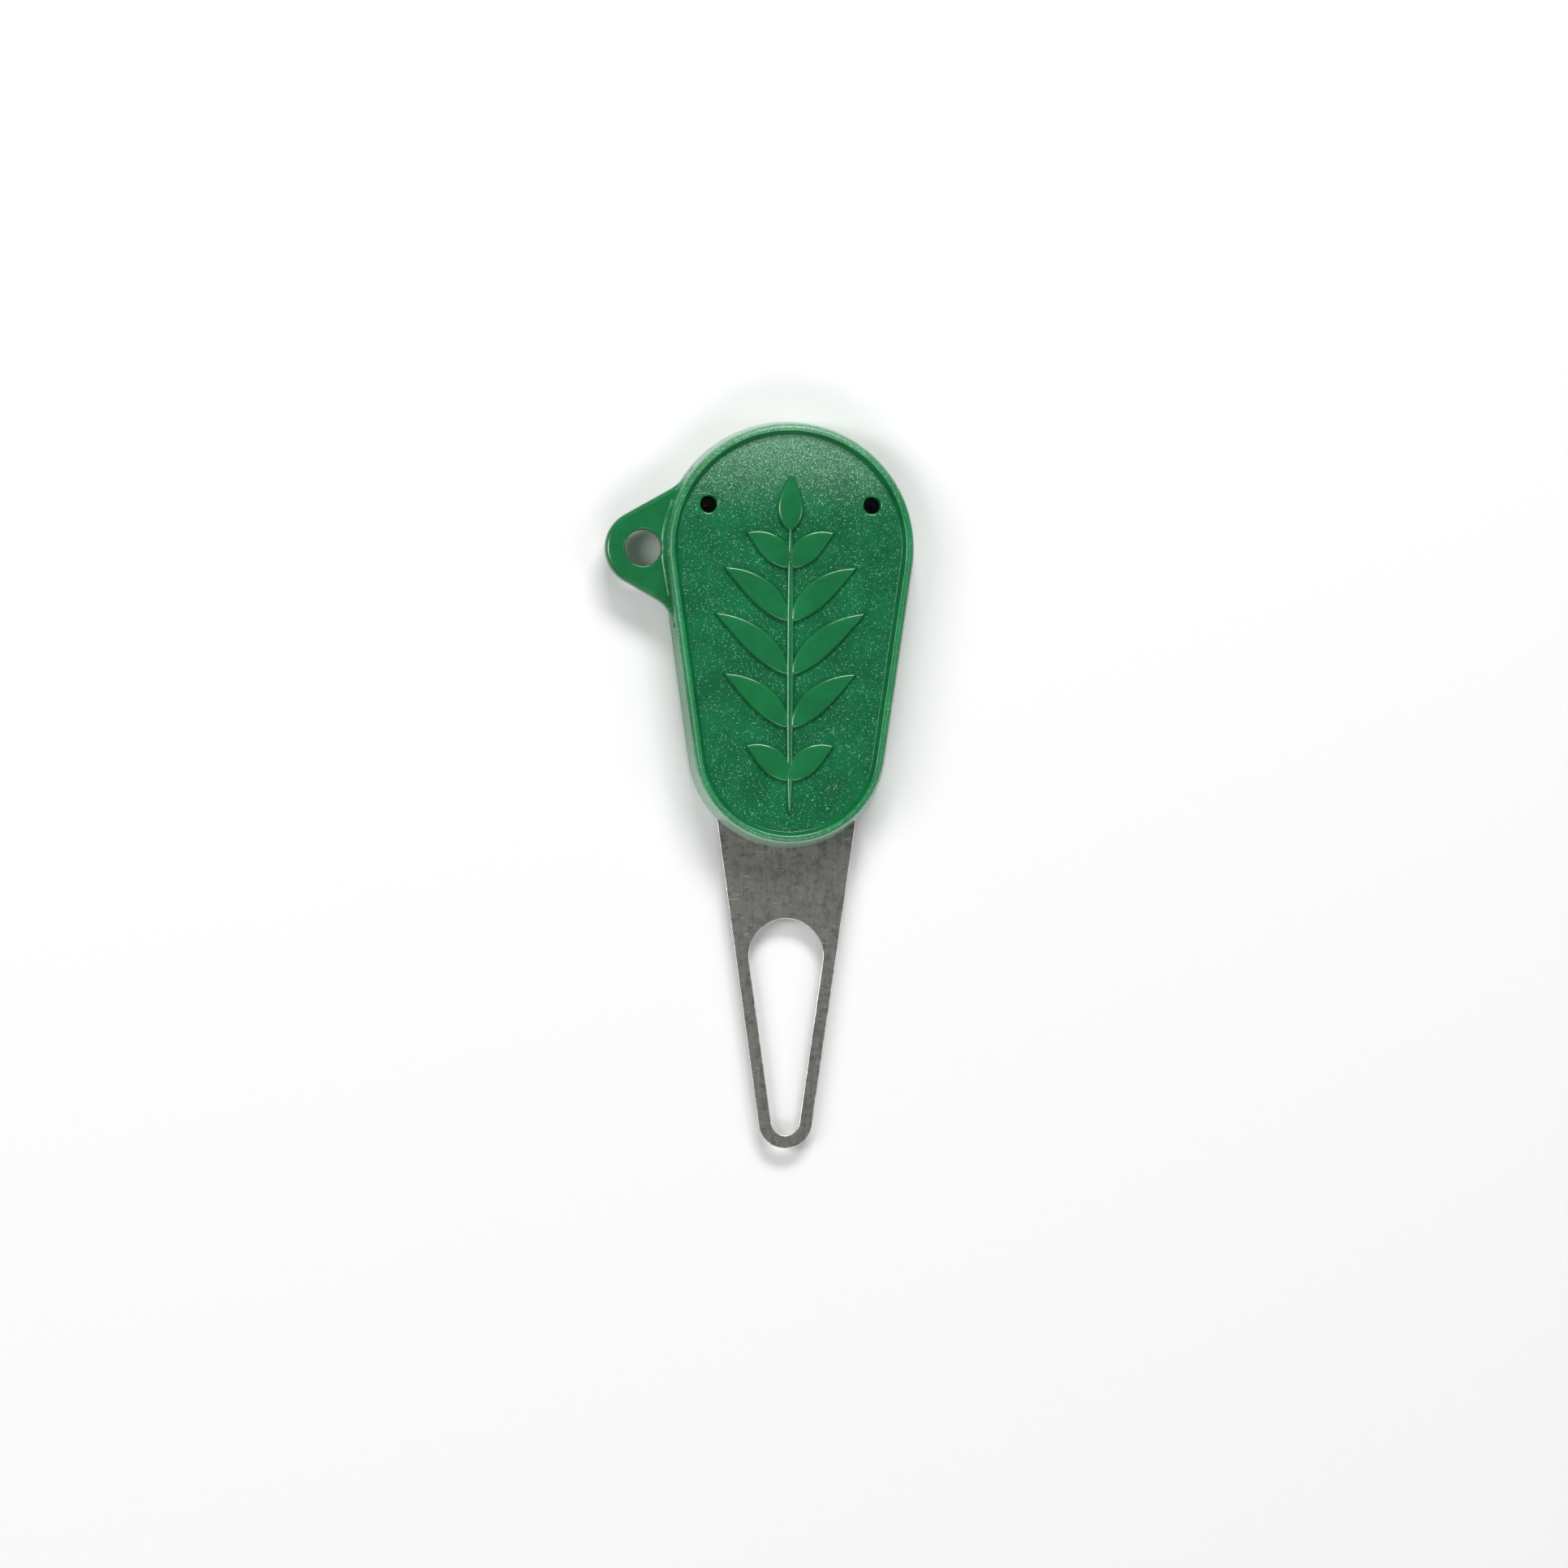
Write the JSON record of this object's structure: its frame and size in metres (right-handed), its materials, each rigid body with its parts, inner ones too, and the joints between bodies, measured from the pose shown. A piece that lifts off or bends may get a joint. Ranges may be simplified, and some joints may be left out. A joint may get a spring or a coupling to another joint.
{
  "type": "needle threader",
  "caption": "Flat hand tool: a moulded plastic grip with raised leaf ornament and a lanyard lug, holding a tapered closed loop of thin spring steel.",
  "frame": {"origin": "on the flat back face, directly below the centre of the grip's round top end", "axes": "+Z out of the decorated face, +Y from the steel loop towards the grip's round top end, +X to the right with the lanyard lug on the -X side"},
  "size_m": [0.0287, 0.0671, 0.005],
  "materials": {
    "grip_plastic": "spark-textured panel, smooth raised ornament",
    "loop_steel": "dark rolled spring steel with fine scratches",
    "pin_steel": "blackened"
  },
  "bodies": {
    "root": {"front_shell": "grip_plastic", "back_cover": "grip_plastic", "steel_loop": "loop_steel", "left_dowel_pin": "pin_steel", "right_dowel_pin": "pin_steel"}
  },
  "joints": []
}
